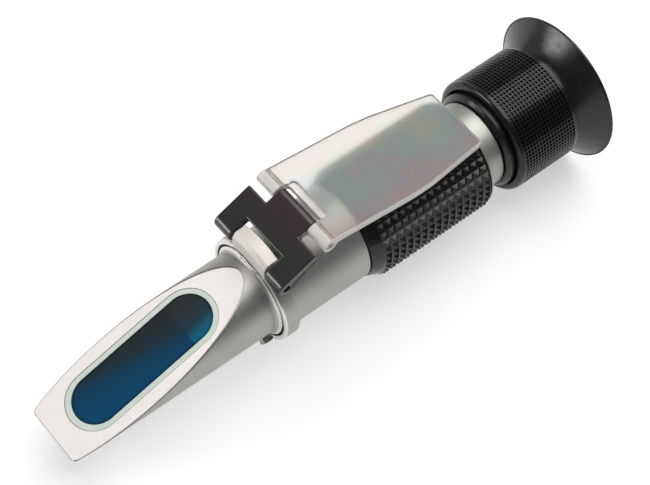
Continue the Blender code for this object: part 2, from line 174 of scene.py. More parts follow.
# The Mix node's colour sockets, whose names other sockets share
MIX_A = 6
MIX_B = 7
MIX_RESULT = 2

FLOOR_GAP = 0.2
FLOOR_R = 3000.0


# ---------------------------------------------------------------- outlines

def rounded(corners, closed=True, count=4):
    """Turn each (a, b, radius) corner of an outline into an arc.

    A corner without a radius stays sharp, and so do both ends of an open outline.
    """
    points = []
    total = len(corners)
    for i, corner in enumerate(corners):
        here = Vector(corner[:2])
        is_end = not closed and i in (0, total - 1)
        if len(corner) < 3 or is_end:
            points.append(tuple(here))
            continue
        radius = corner[2]
        before = (Vector(corners[i - 1][:2]) - here).normalized()
        after = (Vector(corners[(i + 1) % total][:2]) - here).normalized()
        half = before.angle(after) / 2
        reach = radius / math.tan(half)
        centre = here + (before + after).normalized() * radius / math.sin(half)
        start = here + before * reach - centre
        end = here + after * reach - centre
        first = math.atan2(start.y, start.x)
        turn = (math.atan2(end.y, end.x) - first + math.pi) % math.tau - math.pi
        for k in range(count + 1):
            angle = first + turn * k / count
            points.append((
                centre.x + radius * math.cos(angle), centre.y + radius * math.sin(angle)
            ))
    return points


def arc(centre, radius, start, end, count):
    """Points of an arc between two angles in degrees."""
    points = []
    for k in range(count + 1):
        angle = math.radians(start + (end - start) * k / count)
        points.append((
            centre[0] + radius * math.cos(angle), centre[1] + radius * math.sin(angle)
        ))
    return points


def sweep(start, pull, end, count):
    """Points of a quadratic curve."""
    points = []
    for k in range(count + 1):
        t = k / count
        points.append(tuple(
            (1 - t) ** 2 * a + 2 * t * (1 - t) * b + t ** 2 * c
            for a, b, c in zip(start, pull, end)
        ))
    return points


def stadium(front, rear, half_width, count):
    return (
        arc((rear - half_width, 0.0), half_width, -90, 90, count)
        + arc((front + half_width, 0.0), half_width, 90, 270, count)
    )


def widened(shape, margin):
    """A stadium's front, rear and half width with a margin all round."""
    front, rear, half_width = shape
    return (front - margin, rear + margin, half_width + margin)


def mirrored(half):
    return half + [(a, -b) for a, b in reversed(half)]


# ---------------------------------------------------------------- solids

def to_object(name, form):
    bmesh.ops.recalc_face_normals(form, faces=form.faces)
    mesh = bpy.data.meshes.new(name)
    form.to_mesh(mesh)
    form.free()
    item = bpy.data.objects.new(name, mesh)
    bpy.context.scene.collection.objects.link(item)
    return item


def ring(form, x, r, angles):
    """Corners round the axis at one station."""
    return [
        form.verts.new((x * MM, r * MM * math.cos(angle), r * MM * math.sin(angle)))
        for angle in angles
    ]


def bridge(form, here, there):
    """Join two rings of corners, either of which may be a single point."""
    count = max(len(here), len(there))
    for k in range(count):
        n = (k + 1) % count
        corners = [
            here[k % len(here)], here[n % len(here)], there[n % len(there)], there[k % len(there)],
        ]
        form.faces.new(list(dict.fromkeys(corners)))


def turned(name, outline, closed=True, steps=STEPS):
    """Turn an (x, r) outline about X; an open outline starts and ends on the axis."""
    form = bmesh.new()
    angles = [math.tau * k / steps for k in range(steps)]
    rings = [ring(form, x, r, angles if r > AXIS_R else angles[:1]) for x, r in outline]
    for here, there in zip(rings, rings[1:]):
        bridge(form, here, there)
    if closed:
        bridge(form, rings[-1], rings[0])
    return to_object(name, form)


def patterned(name, outline, around, along, margin, base_r, top_r, top_share, turn=0.0):
    """Turn an outline about X, with a grid of squares between its last point and its first.

    A margin, in cells, is left plain round each square. A square rises or sinks from base_r to
    top_r, where it is top_share as wide. The grid is turned about X by an angle.
    """
    form = bmesh.new()
    shares = (margin, 1 - margin)
    angles = [math.tau * (k + share) / around + turn for k in range(around) for share in shares]
    rings = [ring(form, x, r, angles) for x, r in outline]
    plain = len(rings)
    start = outline[-1][0]
    pitch = (outline[0][0] - start) / along
    for i in range(along):
        for share in shares:
            rings.append(ring(form, start + pitch * (i + share), base_r, angles))
    for i, here in enumerate(rings):
        there = rings[(i + 1) % len(rings)]
        in_square = i >= plain and (i - plain) % 2 == 0
        for k in range(len(angles)):
            n = (k + 1) % len(angles)
            corners = [here[k], here[n], there[n], there[k]]
            if not in_square or k % 2:
                form.faces.new(corners)
                continue
            middle = sum((v.co for v in corners), Vector()) / 4
            top = []
            for v in corners:
                point = middle.lerp(v.co, top_share)
                out = Vector((0.0, point.y, point.z)).normalized() * top_r * MM
                top.append(form.verts.new((point.x, out.y, out.z)))
            form.faces.new(top)
            for j in range(4):
                m = (j + 1) % 4
                form.faces.new([corners[j], corners[m], top[m], top[j]])
    return to_object(name, form)


def extruded(name, outline, low, high, frame=None):
    """Extrude an (x, z) outline along Y; a frame then places it."""
    form = bmesh.new()
    ends = [[form.verts.new((a * MM, y * MM, b * MM)) for a, b in outline] for y in (low, high)]
    for end in ends:
        form.faces.new(end)
    bridge(form, *ends)
    if frame is not None:
        bmesh.ops.transform(form, matrix=frame, verts=form.verts)
    return to_object(name, form)


def stacked(name, levels, frame):
    """Join (x, y) outlines of the same count, each with its height."""
    form = bmesh.new()
    rings = [
        [form.verts.new((a * MM, b * MM, height * MM)) for a, b in outline]
        for outline, height in levels
    ]
    form.faces.new(rings[0])
    form.faces.new(rings[-1])
    for here, there in zip(rings, rings[1:]):
        bridge(form, here, there)
    bmesh.ops.transform(form, matrix=frame, verts=form.verts)
    return to_object(name, form)


def box(name, low, high):
    outline = [(low[0], low[2]), (high[0], low[2]), (high[0], high[2]), (low[0], high[2])]
    return extruded(name, outline, low[1], high[1])


def rod(name, start, end, radius, steps=32, edge=0.0):
    """A cylinder between two points, its ends chamfered where an edge width is given."""
    start, end = Vector(start), Vector(end)
    length = (end - start).length
    outline = [
        (0.0, 0.0), (0.0, radius - edge), (edge, radius), (length - edge, radius),
        (length, radius - edge), (length, 0.0),
    ]
    item = turned(name, list(dict.fromkeys(outline)), closed=False, steps=steps)
    turn = (end - start).to_track_quat("X", "Z").to_matrix().to_4x4()
    item.data.transform(Matrix.Translation(start * MM) @ turn)
    return item


def cross_rod(name, pin, half_width, radius, edge=0.0):
    """A rod across the part, centred on a pin."""
    x, z = pin
    return rod(name, (x, -half_width, z), (x, half_width, z), radius, edge=edge)


# The oblique face's own frame, with X up its slope and Z square to it
FACE_FRAME = (
    Matrix.Translation((TIP_X * MM, 0.0, FACE_TIP_Z * MM)) @ Matrix.Rotation(-FACE_SLOPE, 4, "Y")
)
# Lays an outline flat, so that its extrusion runs along Z
PLAN_TURN = Matrix.Rotation(math.pi / 2, 4, "X")


def face_column(name, shape, top, bottom, count=24):
    """A stadium column square to the oblique face, with its ends' heights over the face."""
    return extruded(name, stadium(*shape, count), bottom, top, FACE_FRAME @ PLAN_TURN)


def tilted(pin, tilt):
    """The frame at a pin, with X turned up by an angle."""
    return Matrix.Translation((pin[0] * MM, 0.0, pin[1] * MM)) @ Matrix.Rotation(-tilt, 4, "Y")


def carve(item, *tools, how="DIFFERENCE"):
    """Apply Booleans with each tool in turn, and remove the tools."""
    for tool in tools:
        cut = item.modifiers.new("cut", "BOOLEAN")
        cut.operation = how
        cut.object = tool
        cut.solver = "EXACT"
    graph = bpy.context.evaluated_depsgraph_get()
    graph.update()
    mesh = bpy.data.meshes.new_from_object(item.evaluated_get(graph))
    item.modifiers.clear()
    item.data = mesh
    for tool in tools:
        bpy.data.objects.remove(tool)
    return item


def trim(column, floor_z, rear_x):
    """Cut a column for the prism off at its floor and its rear."""
    carve(column, box("low", (TIP_X - 10, -FAR, -FAR), (0, FAR, floor_z)))
    carve(column, box("back", (rear_x, -FAR, -FAR), (FAR, FAR, FAR)))


def soften(item, width, pick, segments=2, clamp=True):
    """Bevel the edges that a rule picks; the clamp narrows the bevel where edges are close."""
    form = bmesh.new()
    form.from_mesh(item.data)
    bmesh.ops.remove_doubles(form, verts=form.verts, dist=WELD * MM)
    edges = [e for e in form.edges if len(e.link_faces) == 2 and pick(e)]
    bmesh.ops.bevel(
        form, geom=edges, offset=width * MM, segments=segments, profile=0.5, affect="EDGES",
        clamp_overlap=clamp,
    )
    form.to_mesh(item.data)
    form.free()
    return item


def sharper_than(degrees, where=None):
    """A rule for edges: sharper than an angle, and at a place that another rule allows."""
    limit = math.radians(degrees)

    def pick(edge):
        return edge.calc_face_angle(0.0) > limit and (where is None or where(edge))

    return pick


def both_ends(edge, rule):
    return all(rule(v.co / MM) for v in edge.verts)


def show(item, body, skins, nodes=(), sharp=32.0, weigh=True):
    """Shade a finished piece, and tie it to its CAD body, nodes and material slot.

    Edges over the sharp angle, in degrees, stay sharp. Patterned pieces have no weighted
    normals, which would tilt their plain rims.
    """
    mesh = item.data
    mesh.shade_smooth()
    mesh.set_sharp_from_angle(angle=math.radians(sharp))
    mesh.materials.clear()
    for skin in skins:
        mesh.materials.append(skin)
    if weigh:
        item.modifiers.new("weighted", "WEIGHTED_NORMAL").keep_sharp = True
    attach(item, body)
    if nodes:
        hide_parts(*nodes)
    return item


# ---------------------------------------------------------------- materials

class Skin:
    """A Principled material with its noise-driven colour, roughness and bump."""

    def __init__(self, name, **sockets):
        self.material = bpy.data.materials.new(name)
        self.material.use_nodes = True
        self.nodes = self.material.node_tree.nodes
        self.links = self.material.node_tree.links
        self.shader = self.nodes["Principled BSDF"]
        for socket, value in sockets.items():
            self.shader.inputs[socket.replace("_", " ")].default_value = value
        self.place = self.nodes.new("ShaderNodeTexCoord").outputs["Object"]
        self.heights = []

    def feed(self, socket, value):
        """Give a socket a number, or the output of another node."""
        if isinstance(value, (int, float)):
            socket.default_value = value
        else:
            self.links.new(value, socket)

    def noise(self, scale, stretch=(1.0, 1.0, 1.0), detail=4.0, rough=0.55):
        """Noise in the piece's own space; the scale is in bumps a metre."""
        spread = self.nodes.new("ShaderNodeMapping")
        spread.inputs["Scale"].default_value = stretch
        self.links.new(self.place, spread.inputs["Vector"])
        noise = self.nodes.new("ShaderNodeTexNoise")
        noise.inputs["Scale"].default_value = scale
        noise.inputs["Detail"].default_value = detail
        noise.inputs["Roughness"].default_value = rough
        self.links.new(spread.outputs["Vector"], noise.inputs["Vector"])
        return noise.outputs["Fac"]

    def math(self, operation, *values):
        node = self.nodes.new("ShaderNodeMath")
        node.operation = operation
        for socket, value in zip(node.inputs, values):
            self.feed(socket, value)
        return node.outputs["Value"]

    def about_zero(self, noise, spread):
        return self.math("MULTIPLY_ADD", noise, spread, -spread / 2)

    def average(self, one, two, share):
        """Weigh two values, the first with the given share."""
        return self.math(
            "ADD", self.math("MULTIPLY", one, share), self.math("MULTIPLY", two, 1 - share)
        )

    def clamp(self, value):
        node = self.nodes.new("ShaderNodeClamp")
        self.links.new(value, node.inputs["Value"])
        return node.outputs["Result"]

    def axes(self):
        node = self.nodes.new("ShaderNodeSeparateXYZ")
        self.links.new(self.place, node.inputs["Vector"])
        return node.outputs["X"], node.outputs["Y"], node.outputs["Z"]

    def ramp(self, value, stops):
        node = self.nodes.new("ShaderNodeValToRGB")
        elements = node.color_ramp.elements
        while len(elements) < len(stops):
            elements.new(0.5)
        for element, (position, color) in zip(elements, stops):
            element.position = position
            element.color = (*color, 1.0)
        self.links.new(value, node.inputs["Fac"])
        return node.outputs["Color"]

    def mix(self, share, one, two, blend="MIX"):
        node = self.nodes.new("ShaderNodeMix")
        node.data_type = "RGBA"
        node.blend_type = blend
        self.feed(node.inputs["Factor"], share)
        self.links.new(one, node.inputs[MIX_A])
        self.links.new(two, node.inputs[MIX_B])
        return node.outputs[MIX_RESULT]

    def color(self, value):
        self.links.new(value, self.shader.inputs["Base Color"])
        return self

    def roughness(self, value, low, high):
        node = self.nodes.new("ShaderNodeMapRange")
        node.inputs["From Min"].default_value = NOISE_LOW
        node.inputs["From Max"].default_value = NOISE_HIGH
        node.inputs["To Min"].default_value = low
        node.inputs["To Max"].default_value = high
        self.links.new(value, node.inputs["Value"])
        self.links.new(node.outputs["Result"], self.shader.inputs["Roughness"])
        return self

    def bump(self, value, height):
        """Raise the surface by a noise; bumps stack up."""
        node = self.nodes.new("ShaderNodeBump")
        node.inputs["Strength"].default_value = 1.0
        node.inputs["Distance"].default_value = height * MM
        self.links.new(value, node.inputs["Height"])
        if self.heights:
            self.links.new(self.heights[-1], node.inputs["Normal"])
        self.heights.append(node.outputs["Normal"])
        self.links.new(node.outputs["Normal"], self.shader.inputs["Normal"])
        return self


def plain_skin(
    name, dark, light, rough, scale=900.0, stretch=(1.0, 1.0, 1.0), height=0.01, **sockets
):
    """A material whose colour varies slightly with a noise, and its roughness with a finer one."""
    skin = Skin(name, **sockets)
    broad = skin.noise(scale, stretch)
    fine = skin.noise(scale * 5, stretch, detail=2.0)
    skin.color(skin.ramp(broad, [(NOISE_LOW, dark), (NOISE_HIGH, light)]))
    skin.roughness(fine, *rough)
    skin.bump(fine, height)
    return skin.material


def from_middle_line(skin, x, y):
    """Distance from the middle line of the window's stadium, in the plane of the face."""
    front, rear, half_width = WINDOW
    run = math.cos(FACE_SLOPE)
    middle = TIP_X * MM / run + (front + rear) / 2 * MM
    along = skin.math("ABSOLUTE", skin.math("MULTIPLY_ADD", x, 1.0 / run, -middle))
    straight = ((rear - front) / 2 - half_width) * MM
    past = skin.math("MAXIMUM", skin.math("SUBTRACT", along, straight), 0.0)
    squares = [skin.math("MULTIPLY", value, value) for value in (past, y)]
    return skin.math("SQRT", skin.math("ADD", *squares))


def window_skin():
    """Deep blue glass with painted shade: it darkens to slate on the far side and towards
    the rear, and its rim is darker.

    Behind a line near its rear end, the blue turns teal.
    """
    skin = Skin("window_glass", IOR=1.5, Specular_IOR_Level=0.3)
    x, y, _ = skin.axes()
    cloud = skin.noise(260.0, detail=5.0)
    speck = skin.noise(2600.0, detail=3.0)
    # Painted shade: darker towards the far side (+Y) and towards the rear
    side = skin.math("MULTIPLY_ADD", y, 72.0, 0.42)
    along = skin.math("MULTIPLY_ADD", x, 22.0, 1.88)
    along = skin.math("MINIMUM", skin.math("MULTIPLY", along, 0.9), 0.32)
    shade = skin.math("ADD", side, along)
    shade = skin.math("ADD", shade, skin.about_zero(cloud, 0.24))
    shade = skin.math("ADD", shade, skin.about_zero(speck, 0.16))
    deep = skin.ramp(shade, [
        (0.10, (0.003, 0.052, 0.125)), (0.45, (0.004, 0.042, 0.095)),
        (0.72, (0.012, 0.028, 0.042)), (0.95, (0.018, 0.023, 0.026)),
    ])
    teal = skin.ramp(shade, [
        (0.05, (0.004, 0.16, 0.28)), (0.36, (0.004, 0.10, 0.19)),
        (0.62, (0.012, 0.038, 0.058)), (0.90, (0.022, 0.028, 0.031)),
    ])
    teal_start_x = -67.3
    teal_rate = 2500.0
    beyond = skin.math("MULTIPLY_ADD", x, teal_rate, -teal_rate * teal_start_x * MM)
    tone = skin.mix(skin.clamp(beyond), deep, teal)
    # Painted shade: darker towards the window's rim
    rim_shade_rate = 1100.0
    inward = skin.math(
        "MULTIPLY_ADD", from_middle_line(skin, x, y), -rim_shade_rate, rim_shade_rate * WINDOW[2] * MM
    )
    rim_shade = skin.ramp(inward, [(0.0, (0.45, 0.45, 0.45)), (0.9, (1.0, 1.0, 1.0))])
    skin.color(skin.mix(1.0, tone, rim_shade, blend="MULTIPLY"))
    skin.roughness(speck, 0.10, 0.2)
    skin.bump(cloud, 0.02)
    return skin.material


def turned_metal_skin(name, dark, light, rough, **sockets):
    """Fine-turned aluminium: rings of slightly different tone and roughness, and a matt grain."""
    skin = Skin(name, Metallic=1.0, **sockets)
    rings = skin.noise(2200.0, (1.0, 0.03, 0.03), detail=3.0)
    cloud = skin.noise(90.0, detail=4.0)
    grain = skin.noise(6500.0, detail=2.0)
    tone = skin.average(rings, cloud, 0.35)
    skin.color(skin.ramp(tone, [(0.35, dark), (0.65, light)]))
    skin.roughness(skin.average(rings, grain, 0.5), *rough)
    skin.bump(rings, 0.0012)
    skin.bump(grain, 0.004)
    return skin.material


def moulding_skin():
    """Glossy black plastic with a painted sheen: faintly green at its front and purple towards the
    tab.
    """
    skin = Skin("black_moulding", Specular_IOR_Level=0.6)
    x, _, _ = skin.axes()
    cloud = skin.noise(140.0)
    grain = skin.noise(2500.0, detail=2.0)
    # Painted sheen: the tint shifts from green at the front to purple at the tab
    along = skin.math("MULTIPLY_ADD", x, 90.0, 4.0)
    shade = skin.math("ADD", along, skin.about_zero(cloud, 0.5))
    skin.color(skin.ramp(shade, [
        (0.05, (0.020, 0.023, 0.019)), (0.5, (0.026, 0.023, 0.022)), (0.9, (0.034, 0.020, 0.025)),
    ]))
    skin.roughness(grain, 0.17, 0.26)
    skin.bump(grain, 0.0012)
    return skin.material


def clear_skin():
    """Hazy clear plastic with faint coloured stress bands, from pink through teal to yellow."""
    skin = Skin("clear_plastic", IOR=1.49, Transmission_Weight=0.9, Specular_IOR_Level=0.9)
    _, y, _ = skin.axes()
    stress = skin.noise(85.0, (1.0, 1.5, 1.5), detail=5.0)
    haze = skin.noise(700.0, detail=4.0)
    scuff = skin.noise(3000.0, (1.0, 0.15, 1.0), detail=3.0)
    across = skin.math("MULTIPLY_ADD", y, 26.0, 0.5)
    bands = skin.math("ADD", across, skin.about_zero(stress, 1.3))
    skin.color(skin.ramp(bands, [
        (0.05, (0.78, 0.73, 0.73)), (0.25, (0.76, 0.72, 0.72)), (0.42, (0.73, 0.76, 0.75)),
        (0.58, (0.76, 0.76, 0.73)), (0.70, (0.78, 0.745, 0.705)), (0.85, (0.79, 0.74, 0.73)),
    ]))
    skin.links.new(skin.ramp(bands, [
        (0.05, (1.0, 0.74, 0.74)), (0.20, (1.0, 0.66, 0.62)), (0.30, (0.62, 0.84, 1.0)),
        (0.38, (0.95, 0.68, 0.74)), (0.47, (0.60, 0.88, 0.94)), (0.58, (0.72, 0.94, 0.82)),
        (0.68, (1.0, 0.90, 0.56)), (0.80, (1.0, 0.84, 0.74)),
    ]), skin.shader.inputs["Specular Tint"])
    skin.roughness(haze, 0.17, 0.23)
    skin.bump(scuff, 0.002)
    return skin.material


def make_skins():
    """Every material of the object and its floor, by name."""
    return {
        "aluminium": turned_metal_skin(
            "turned_aluminium", (0.36, 0.36, 0.335), (0.41, 0.41, 0.385), (0.42, 0.52)
        ),
        # Painted highlight: a near-white copy of the aluminium for the oblique face, partly its
        # lapped finish and partly the overhead light it reflects
        "face": plain_skin(
            "lapped_highlit_face", (0.80, 0.76, 0.745), (0.84, 0.80, 0.785), (0.45, 0.55),
            scale=300.0, stretch=(0.2, 1.0, 1.0), height=0.002, Metallic=0.35,
        ),
        # Painted shadow: a dark copy of the aluminium, drawn as a thin shadow line round the
        # face's rim
        "edge": plain_skin(
            "painted_shadow_edge", (0.20, 0.205, 0.20), (0.27, 0.27, 0.265), (0.3, 0.4),
            height=0.002, Metallic=1.0,
        ),
        "lip": plain_skin(
            "polished_lip", (0.60, 0.59, 0.56), (0.66, 0.65, 0.62), (0.24, 0.34),
            height=0.001, Metallic=1.0,
        ),
        # Painted highlight: a pale cream, less metallic copy of the collar's aluminium for the
        # lug, standing in for the overhead light's reflection
        "lug": plain_skin(
            "bright_lug", (0.61, 0.575, 0.54), (0.67, 0.63, 0.595), (0.5, 0.6),
            scale=500.0, stretch=(1.0, 0.2, 1.0), height=0.003, Metallic=0.3,
        ),
        "window": window_skin(),
        "seal": plain_skin(
            "pale_seal", (0.51, 0.57, 0.525), (0.57, 0.63, 0.585), (0.4, 0.6),
            scale=500.0, height=0.02, Subsurface_Weight=0.15,
            Subsurface_Radius=(0.0006, 0.0008, 0.0007), Subsurface_Scale=1.0,
        ),
        "link": moulding_skin(),
        "clear": clear_skin(),
        # Partly frosting and partly painted light: the lit near edges, the knuckle and the recess
        # floor are whitened
        "frosted_and_lit": plain_skin(
            "frosted_lit_edge", (0.84, 0.80, 0.77), (0.90, 0.87, 0.84), (0.34, 0.44),
            scale=300.0, stretch=(0.3, 1.0, 1.0), height=0.0, Transmission_Weight=0.5, IOR=1.49,
        ),
        # Painted shade: a darker copy of the frosted edge, for the edges on the far side
        "dim": plain_skin(
            "shaded_edge", (0.62, 0.58, 0.57), (0.68, 0.64, 0.63), (0.3, 0.4),
            scale=300.0, stretch=(0.3, 1.0, 1.0), height=0.0, Transmission_Weight=0.1, IOR=1.49,
        ),
        "grip": plain_skin(
            "moulded_rubber", (0.003, 0.004, 0.004), (0.007, 0.008, 0.007), (0.17, 0.28),
            scale=1400.0, height=0.003, Specular_IOR_Level=0.42,
        ),
        "black": plain_skin(
            "black_anodised", (0.003, 0.004, 0.004), (0.006, 0.008, 0.007), (0.24, 0.32),
            scale=300.0, height=0.0002, Specular_IOR_Level=0.48,
        ),
        "knurl": plain_skin(
            "knurled_black", (0.003, 0.004, 0.0035), (0.006, 0.0075, 0.0065), (0.18, 0.28),
            scale=600.0, height=0.0004, Specular_IOR_Level=0.36,
        ),
        "cup": plain_skin(
            "eyecup_rubber", (0.003, 0.003, 0.003), (0.007, 0.0065, 0.0065), (0.24, 0.32),
            scale=120.0, height=0.0005, Specular_IOR_Level=0.5,
        ),
        "steel": plain_skin(
            "ground_steel", (0.30, 0.30, 0.29), (0.42, 0.42, 0.40), (0.25, 0.4),
            height=0.003, Metallic=1.0,
        ),
        "brass": plain_skin(
            "brass", (0.50, 0.35, 0.14), (0.66, 0.48, 0.22), (0.28, 0.42),
            height=0.003, Metallic=1.0,
        ),
        "lens": plain_skin(
            "lens_glass", (0.92, 0.95, 0.97), (0.97, 0.98, 0.99), (0.01, 0.03),
            height=0.0, IOR=1.52, Transmission_Weight=1.0,
        ),
        "floor": plain_skin(
            "studio_floor", (0.50, 0.50, 0.50), (0.53, 0.53, 0.53), (0.7, 0.85),
            scale=20.0, height=0.05, Emission_Color=(1.0, 1.0, 1.0, 1.0), Emission_Strength=0.52,
        ),
    }


# ---------------------------------------------------------------- pieces

def radial(distance):
    """A point on the calibration screw's line, at a distance from the axis."""
    return (SCREW_X, distance * math.cos(SCREW_ANGLE), distance * math.sin(SCREW_ANGLE))


def above_face(point):
    """Height of a point above the oblique face."""
    return (point - Vector((TIP_X, 0.0, FACE_TIP_Z))).dot(FACE_NORMAL)


def make_nose(skins):
    bore = [(-52.0, 0.0), (-52.0, 8.6), (-36.0, 8.6)]
    outside = rounded([
        (-36.0, 8.6), (-36.0, 10.2, 0.2), (-44.7, 10.2), (-44.7, 12.5, 0.2), (-46.25, 12.5, 0.35),
        (-46.9, NOSE_R, 0.9), (TIP_X, TIP_R, 1.1), (TIP_X, 0.0),
    ], closed=False)
    nose = turned("nose", bore + outside[1:], closed=False, steps=FINE_STEPS)

    # The wedge cuts the oblique face, and the shape below cuts the tip's end square to it
    reach = 30.0
    slope = math.tan(FACE_SLOPE)
    ahead, behind = TIP_X - reach, TIP_X + 3 * reach
    roof_z = FACE_TIP_Z + 3 * reach * slope
    wedge = extruded("wedge", [
        (ahead, FACE_TIP_Z - reach * slope), (behind, roof_z), (ahead, roof_z),
    ], -FAR, FAR)
    brim_z = FACE_TIP_Z + 0.02
    deep_x = TIP_X + reach * math.sin(FACE_SLOPE)
    deep_z = FACE_TIP_Z - reach * math.cos(FACE_SLOPE)
    below = extruded("below", [
        (ahead, brim_z), (TIP_X, brim_z), (deep_x, deep_z), (ahead, deep_z),
    ], -FAR, FAR)
    carve(nose, wedge, below)

    pocket = face_column("pocket", widened(WINDOW, PRISM_GAP), OVER_FACE, UNDER_FACE)
    trim(pocket, PRISM_FLOOR_Z - PRISM_GAP, POCKET_REAR_X)
    seat = face_column("seat", SEAL_SEAT, OVER_FACE, -2.3)
    light_way = rod("light_way", (-51.0, 0, 0), (-62.0, 0, 0), 5.8)
    tap = rod("tap", radial(5.0), radial(16.0), 1.25)
    sink = rod("sink", radial(SCREW_TOP_R - 2.1), radial(16.0), SCREW_HEAD_R + 0.3)
    carve(nose, pocket, seat, light_way, tap, sink)

    def on_rim(p):
        on_outside = math.hypot(p.y, p.z) > 10.5 or p.x < TIP_X + 0.1
        return abs(above_face(p)) < TOUCH and on_outside

    def is_rim_edge(edge):
        return both_ends(edge, on_rim) and edge.calc_face_angle(0.0) > 0.1

    soften(nose, 0.28, is_rim_edge, clamp=False)
    names = ["aluminium", "face", "edge", "lip"]
    show(nose, "body", [skins[name] for name in names], ["nose_housing"])
    for face in nose.data.polygons:
        p = face.center / MM
        level = above_face(p)
        r = math.hypot(p.y, p.z)
        # The oblique face gets its near-white copy, partly painted highlight
        if abs(level) < TOUCH and face.normal.dot(FACE_NORMAL) > 0.999:
            face.material_index = names.index("face")
        # Painted shadow line on the faces just under the face's rim
        elif -0.4 < level < -0.001 and abs(face.normal.x) > 0.02 and r > 10.0:
            face.material_index = names.index("edge")
        elif p.x > -46.9 and r > 11.9:
            face.material_index = names.index("lip")


def make_prism(skins):
    prism = face_column("window_prism", WINDOW, 0.0, UNDER_FACE, count=32)
    trim(prism, PRISM_FLOOR_Z, PRISM_REAR_X)
    soften(prism, 0.12, sharper_than(60))
    show(prism, "body", [skins["window"]], ["prism"])
    seal = face_column("window_seal", widened(SEAL_SEAT, -0.1), -0.04, -2.0, count=32)
    carve(seal, face_column("hole", widened(WINDOW, 0.06), OVER_FACE, -8.0, count=32))
    soften(seal, 0.12, sharper_than(60))
    show(seal, "body", [skins["seal"]], ["prism_seal"])


def make_collar(skins):
    collar = turned("collar", rounded([
        (-42.0, 13.0), (-42.0, COLLAR_R, 0.3), (LIP_X, COLLAR_R, 0.7), (LIP_X, 13.0, 0.4),
    ]))
    block = turned("block", rounded([
        (-42.5, 14.0), (-42.5, 19.2, 0.3), (-45.7, 19.0, 0.5), (-46.6, 17.7, 0.4), (-46.6, 14.0),
    ]), steps=FINE_STEPS)
    carve(block, box("keep", (-60, -LUG_HALF_W, 2), (0, LUG_HALF_W, 40)), how="INTERSECT")

    def on_lug_side(edge):
        return both_ends(edge, lambda p: abs(p.y) > LUG_HALF_W - TOUCH)

    soften(block, 0.35, sharper_than(50, on_lug_side))
    carve(collar, block, how="UNION")
    carve(collar, cross_rod("hole", LUG_PIN, 10.0, PIN_HOLE_R))
    names = ["aluminium", "lug", "lip"]
    show(collar, "body", [skins[name] for name in names], ["hinge_collar"])
    for face in collar.data.polygons:
        p = face.center / MM
        # The lug's faces get the pale copy, a painted highlight
        if math.hypot(p.y, p.z) > COLLAR_R + 0.15 and p.z > 5.0:
            face.material_index = names.index("lug")
        elif p.x < LIP_X + 0.75:
            face.material_index = names.index("lip")
    pin = cross_rod("lug_hinge_pin", LUG_PIN, LINK_HALF_W - PIN_INSET, PIN_R, edge=PIN_CHAMFER)
    show(pin, "body", [skins["steel"]], ["lug_pin"])


def make_barrel(skins):
    barrel = turned("barrel", rounded([
        (32.6, 9.6), (32.6, 10.9, 0.3), (25.7, 10.9), (25.7, 11.7, 0.2), (20.3, 11.9),
        (20.1, 14.0, 0.2), (19.8, 14.4, 0.1), (19.45, 14.4, 0.1), (19.45, 11.6),
        (-18.8, 11.6), (-18.8, BARREL_R, 0.2), (-44.4, BARREL_R, 0.3), (-44.4, 10.5),
        (-35.6, 10.5), (-35.6, 9.6),
    ]))
    show(barrel, "body", [skins["aluminium"]], ["main_barrel"])
    zone_end = (GRIP_REAR_X - 0.05, STUD_BASE_R)
    zone_start = (-15.3, STUD_BASE_R)
    outline = [zone_end] + rounded([
        zone_end, (GRIP_REAR_X, 14.1), (GRIP_REAR_X, 11.9), (GRIP_FRONT_X, 11.9),
        (GRIP_FRONT_X, 12.95, 0.3), (-15.8, 14.05, 0.5), zone_start,
    ], closed=False)[1:]
    grip = patterned(
        "grip", outline, STUDS_AROUND, STUDS_ALONG, margin=0.07, base_r=STUD_BASE_R,
        top_r=GRIP_R - 0.02, top_share=0.1, turn=STUD_TURN,
    )
    show(grip, "body", [skins["grip"]], ["grip_sleeve"], sharp=28.0, weigh=False)


def make_eyepiece(skins):
    tube = turned("eyepiece_barrel", rounded([
        (42.4, 10.6), (42.4, EYEPIECE_R, 0.2), (26.9, EYEPIECE_R, 0.5), (26.0, 12.4, 0.3),
        (26.0, 11.2), (33.2, 11.2), (33.2, 10.6),
    ]))
    carve(tube, box("slot", (GUIDE_X - 2.5, -GUIDE_R - 0.3, 9), (50, GUIDE_R + 0.3, 15)))
    show(tube, "body", [skins["black"]], ["eyepiece_tube"])

    zone_end = (46.5, RING_R)
    zone_start = (29.7, RING_R)
    outline = [zone_end] + rounded([
        zone_end, (46.7, 15.55, 0.15), (RING_REAR_X, 15.5, 0.45), (RING_REAR_X, 12.4),
        (44.4, 12.4), (44.4, 14.4), (GUIDE_X - 1.2, 14.4), (GUIDE_X - 1.2, 13.8),
        (RING_FRONT_X, 13.8, 0.4), (RING_FRONT_X, 15.85, 1.3), zone_start,
    ], closed=False, count=6)[1:]
    knurled = patterned(
        "knurled_ring", outline, KNURLS_AROUND, KNURLS_ALONG, margin=0.12, base_r=RING_R,
        top_r=15.4, top_share=0.6,
    )
    show(
        knurled, "focus", [skins["knurl"]], ["focus_ring"], sharp=28.0,
        weigh=False,
    )

    outer = sweep((48.5, 14.15), (50.6, 14.9), (54.75, 20.25), 14)
    inner = sweep((48.8, 8.7), (50.9, 13.3), (54.6, 18.7), 14)
    cup = turned("eyecup_flare", (
        [(48.5, 12.1)] + outer + arc((55.0, 20.15), 0.42, 150, 20, 5)
        + [(CUP_RIM_X, 20.1), (CUP_RIM_X, 19.4), (CUP_RIM_X - 0.2, 19.1)] + inner[::-1]
        + [(45.6, 8.6), (45.6, 12.1)]
    ), steps=160)
    show(cup, "focus", [skins["cup"]], ["eyecup"], sharp=40.0)


